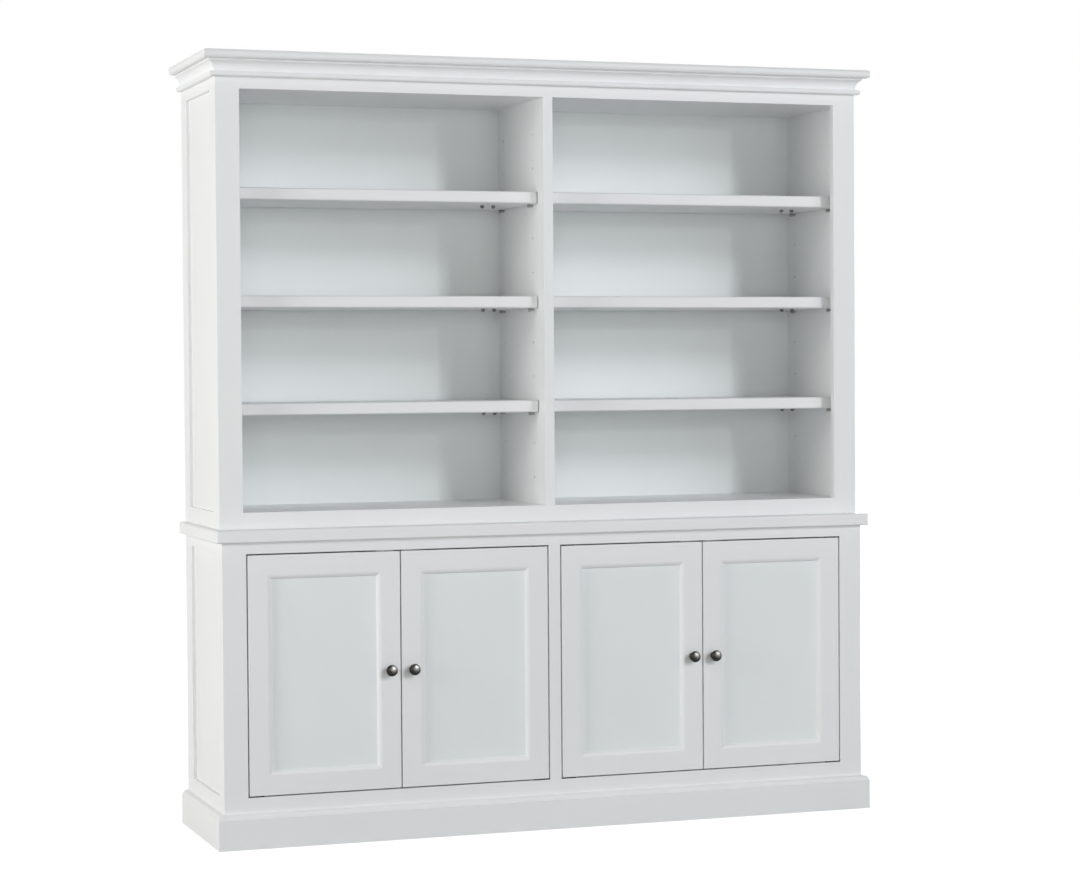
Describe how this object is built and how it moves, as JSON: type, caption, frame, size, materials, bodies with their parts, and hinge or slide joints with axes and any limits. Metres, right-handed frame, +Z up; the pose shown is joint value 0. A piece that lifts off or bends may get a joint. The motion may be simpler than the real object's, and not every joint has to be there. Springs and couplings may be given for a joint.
{
  "type": "bookcase",
  "caption": "White painted two-piece bookcase: an open hutch with adjustable shelves and a moulded crown on a base cabinet with inset panelled doors, round knobs and a plinth",
  "frame": {"origin": "on the floor, at the middle of the footprint of the object's box", "axes": "+X to the right as one faces the front, +Y from the front to the back, +Z up"},
  "size_m": [1.79, 0.454, 1.957],
  "materials": {
    "painted_wood": "satin white paint",
    "bronze": "dark bronze, satin",
    "pin_steel": "dark, satin",
    "hinge_steel": "zinc plated"
  },
  "bodies": {
    "root": {"crown_cap": "painted_wood", "crown_moulding_front": "painted_wood", "crown_moulding_left": "painted_wood", "crown_moulding_right": "painted_wood", "hutch_top_board": "painted_wood", "hutch_floor": "painted_wood", "hutch_side_left": "painted_wood", "hutch_side_right": "painted_wood", "hutch_divider": "painted_wood", "hutch_back": "painted_wood", "hutch_stile_left": "painted_wood", "hutch_stile_center": "painted_wood", "hutch_stile_right": "painted_wood", "hutch_rail_top": "painted_wood", "hutch_rail_bottom": "painted_wood", "hutch_side_frame_left": "painted_wood", "hutch_side_frame_right": "painted_wood", "countertop": "painted_wood", "base_side_left": "painted_wood", "base_side_right": "painted_wood", "base_divider": "painted_wood", "base_floor": "painted_wood", "base_top_rails": "painted_wood", "base_back": "painted_wood", "base_stile_left": "painted_wood", "base_stile_center": "painted_wood", "base_stile_right": "painted_wood", "base_rail_top": "painted_wood", "base_rail_bottom": "painted_wood", "base_side_frame_left": "painted_wood", "base_side_frame_right": "painted_wood", "plinth_front": "painted_wood", "plinth_left": "painted_wood", "plinth_right": "painted_wood", "shelf_pins": "pin_steel", "door_hardware": "hinge_steel"},
    "shelf_left_top_body": {"shelf_left_top": "painted_wood"},
    "shelf_left_middle_body": {"shelf_left_middle": "painted_wood"},
    "shelf_left_bottom_body": {"shelf_left_bottom": "painted_wood"},
    "shelf_right_top_body": {"shelf_right_top": "painted_wood"},
    "shelf_right_middle_body": {"shelf_right_middle": "painted_wood"},
    "shelf_right_bottom_body": {"shelf_right_bottom": "painted_wood"},
    "base_shelf_left_body": {"base_shelf_left": "painted_wood"},
    "base_shelf_right_body": {"base_shelf_right": "painted_wood"},
    "door_1": {"door_frame_1": "painted_wood", "door_panel_1": "painted_wood", "knob_1": "bronze", "door_fittings_1": "hinge_steel"},
    "door_2": {"door_frame_2": "painted_wood", "door_panel_2": "painted_wood", "knob_2": "bronze", "door_fittings_2": "hinge_steel"},
    "door_3": {"door_frame_3": "painted_wood", "door_panel_3": "painted_wood", "knob_3": "bronze", "door_fittings_3": "hinge_steel"},
    "door_4": {"door_frame_4": "painted_wood", "door_panel_4": "painted_wood", "knob_4": "bronze", "door_fittings_4": "hinge_steel"}
  },
  "joints": [
    {"name": "shelf_left_top_lift", "type": "slide", "parent": "root", "child": "shelf_left_top_body", "axis": [0, 0, 1], "range_m": [0, 0.0895]},
    {"name": "shelf_left_middle_lift", "type": "slide", "parent": "root", "child": "shelf_left_middle_body", "axis": [0, 0, 1], "range_m": [0, 0.0895]},
    {"name": "shelf_left_bottom_lift", "type": "slide", "parent": "root", "child": "shelf_left_bottom_body", "axis": [0, 0, 1], "range_m": [0, 0.0895]},
    {"name": "shelf_right_top_lift", "type": "slide", "parent": "root", "child": "shelf_right_top_body", "axis": [0, 0, 1], "range_m": [0, 0.0895]},
    {"name": "shelf_right_middle_lift", "type": "slide", "parent": "root", "child": "shelf_right_middle_body", "axis": [0, 0, 1], "range_m": [0, 0.0895]},
    {"name": "shelf_right_bottom_lift", "type": "slide", "parent": "root", "child": "shelf_right_bottom_body", "axis": [0, 0, 1], "range_m": [0, 0.0895]},
    {"name": "base_shelf_left_lift", "type": "slide", "parent": "root", "child": "base_shelf_left_body", "axis": [0, 0, 1], "range_m": [0, 0.0895]},
    {"name": "base_shelf_right_lift", "type": "slide", "parent": "root", "child": "base_shelf_right_body", "axis": [0, 0, 1], "range_m": [0, 0.0895]},
    {"name": "door_1_swing", "type": "hinge", "parent": "root", "child": "door_1", "pos_m": [-0.7891, -0.1945, 0.42475], "axis": [0, 0, -1], "range_deg": [0, 110]},
    {"name": "door_2_swing", "type": "hinge", "parent": "root", "child": "door_2", "pos_m": [-0.0274, -0.1945, 0.42475], "axis": [0, 0, 1], "range_deg": [0, 85]},
    {"name": "door_3_swing", "type": "hinge", "parent": "root", "child": "door_3", "pos_m": [0.0274, -0.1945, 0.42475], "axis": [0, 0, -1], "range_deg": [0, 85]},
    {"name": "door_4_swing", "type": "hinge", "parent": "root", "child": "door_4", "pos_m": [0.7891, -0.1945, 0.42475], "axis": [0, 0, 1], "range_deg": [0, 110]}
  ]
}
